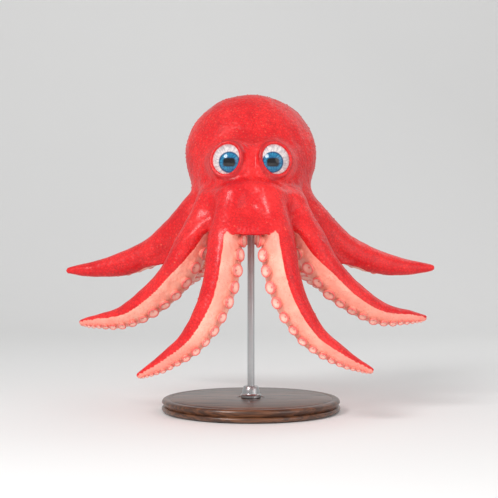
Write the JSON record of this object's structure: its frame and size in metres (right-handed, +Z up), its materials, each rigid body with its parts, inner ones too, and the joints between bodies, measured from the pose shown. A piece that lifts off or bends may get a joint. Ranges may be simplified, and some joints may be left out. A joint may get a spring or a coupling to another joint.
{
  "type": "octopus",
  "caption": "Life-size octopus swimming upright, arms spread below a round mantle, held over a round wooden base by one thin steel rod.",
  "frame": {"origin": "centre of the stand's round underside, on the rod's axis", "axes": "+Z up along the rod, -Y the way the animal faces, +X to the animal's left"},
  "size_m": [0.3382, 0.2627, 0.2876],
  "materials": {
    "skin": "wet orange-red skin, salmon pink on the sucker side",
    "eye": "polished, blue and silver iris with a dark level pupil",
    "rod_steel": "brushed stainless steel",
    "base_wood": "dark walnut, satin lacquer"
  },
  "bodies": {
    "root": {"arm_back_left_base": "skin", "arm_back_left_middle": "skin", "arm_back_left_tip": "skin", "arm_back_right_base": "skin", "arm_back_right_middle": "skin", "arm_back_right_tip": "skin", "arm_front_left_base": "skin", "arm_front_left_middle": "skin", "arm_front_left_tip": "skin", "arm_front_right_base": "skin", "arm_front_right_middle": "skin", "arm_front_right_tip": "skin", "arm_side_left_base": "skin", "arm_side_left_middle": "skin", "arm_side_left_tip": "skin", "arm_side_right_base": "skin", "arm_side_right_middle": "skin", "arm_side_right_tip": "skin", "arm_upper_left_base": "skin", "arm_upper_left_middle": "skin", "arm_upper_left_tip": "skin", "arm_upper_right_base": "skin", "arm_upper_right_middle": "skin", "arm_upper_right_tip": "skin", "eye_left": "eye", "eye_right": "eye", "funnel": "skin", "head": "skin", "mantle": "skin", "mouth": "skin", "stand_base": "base_wood", "stand_collar": "rod_steel", "stand_rod": "rod_steel", "web_back": "skin", "web_front": "skin", "web_front_side_left": "skin", "web_front_side_right": "skin", "web_side_upper_left": "skin", "web_side_upper_right": "skin", "web_upper_back_left": "skin", "web_upper_back_right": "skin"}
  },
  "joints": []
}
